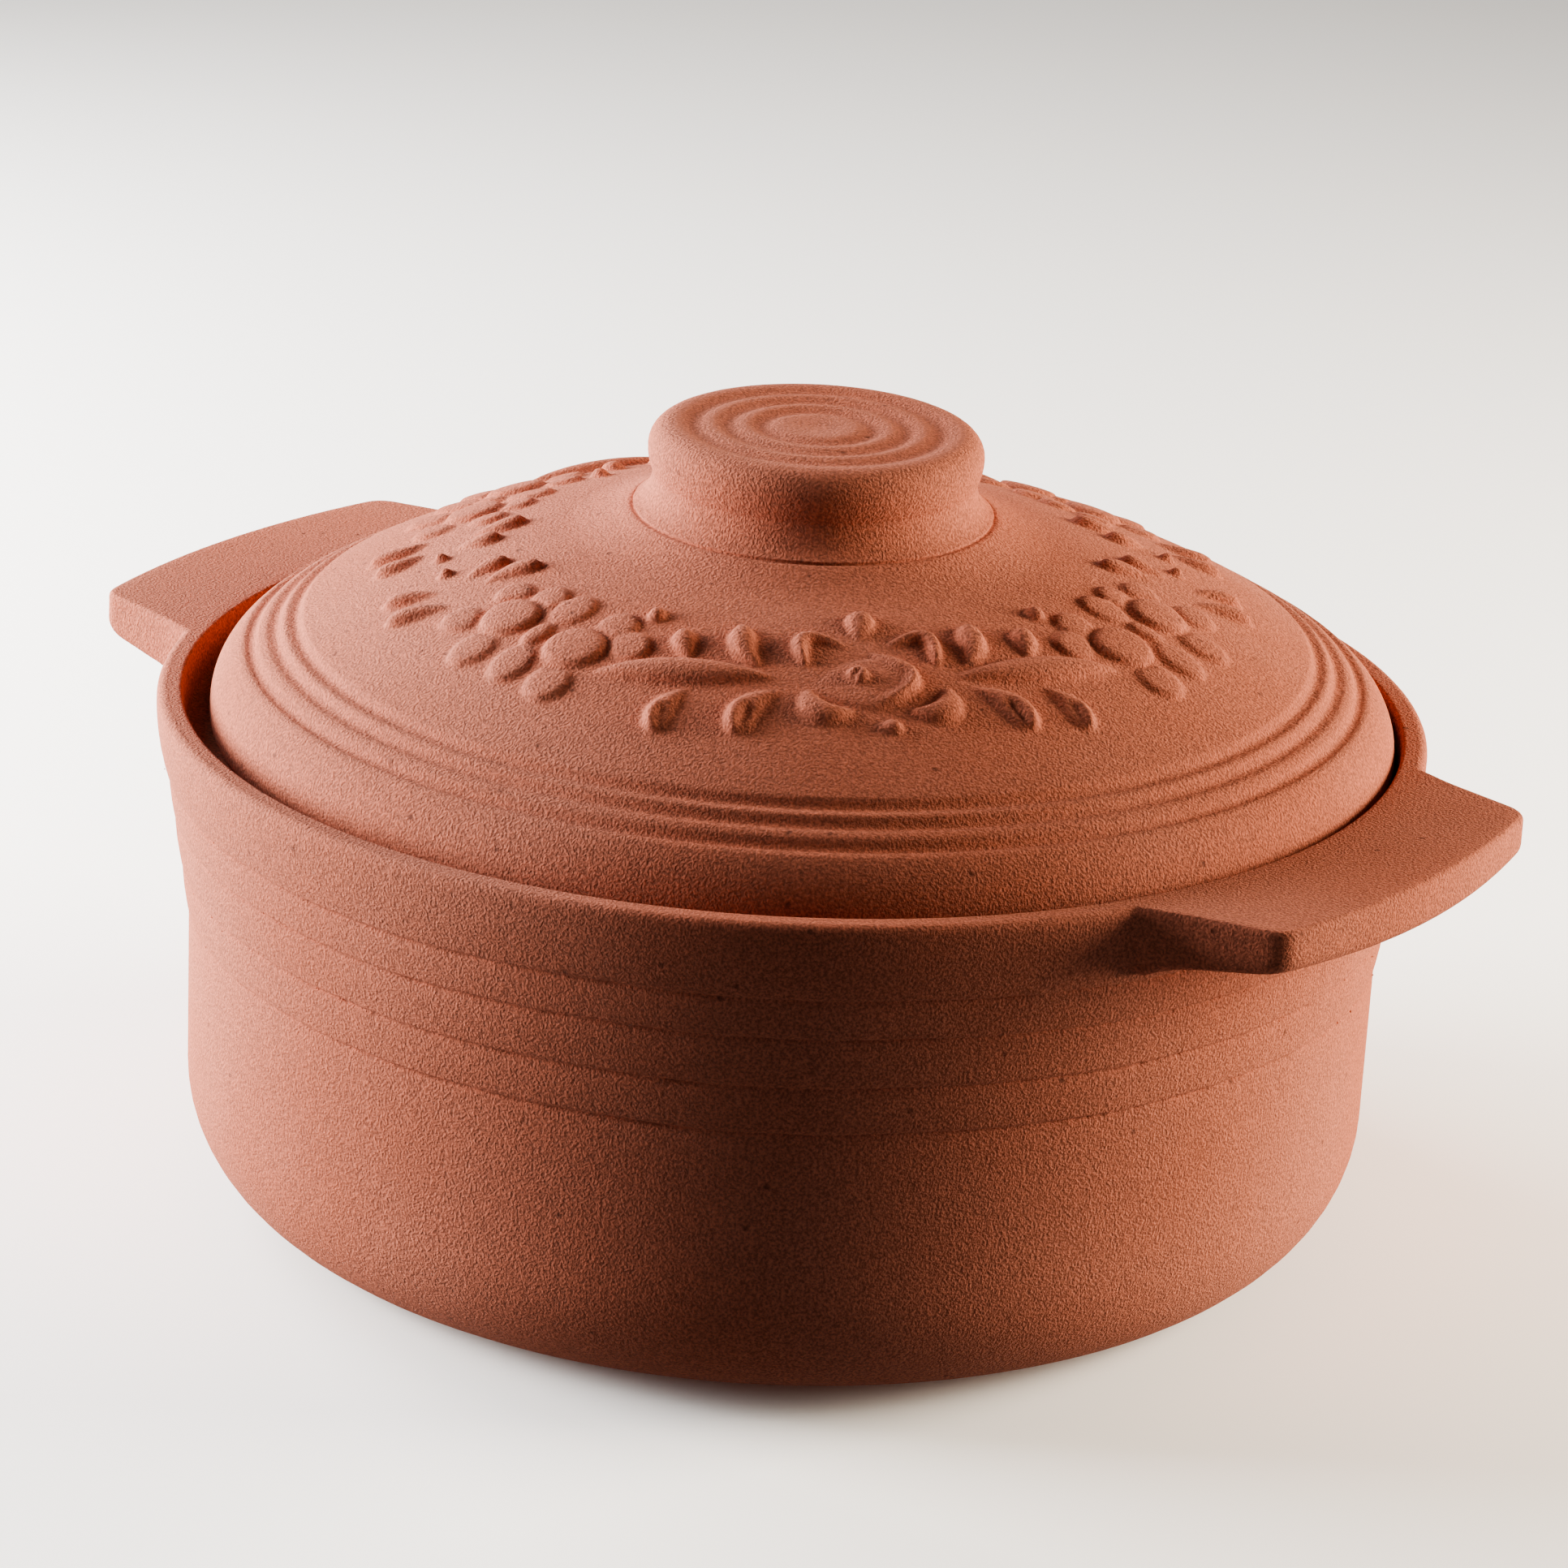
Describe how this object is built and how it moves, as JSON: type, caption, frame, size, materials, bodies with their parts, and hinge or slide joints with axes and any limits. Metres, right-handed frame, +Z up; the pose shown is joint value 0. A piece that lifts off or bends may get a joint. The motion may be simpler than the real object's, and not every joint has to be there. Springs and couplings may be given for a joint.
{
  "type": "clay roaster",
  "caption": "Round unglazed clay casserole with two flat ear handles and a loose domed lid with a ringed knob and a wreath of flowers in low relief.",
  "frame": {"origin": "middle of the pot's flat foot, on the surface that the pot stands on", "axes": "+Z up along the pot's axis, +X out through the middle of one ear handle, +Y across the handles"},
  "size_m": [0.3052, 0.2604, 0.1664],
  "materials": {
    "unglazed_clay": "matt unglazed terracotta, fine sandy grain, pale clay dust in the seams"
  },
  "bodies": {
    "root": {"pot": "unglazed_clay", "lid": "unglazed_clay"}
  },
  "joints": []
}
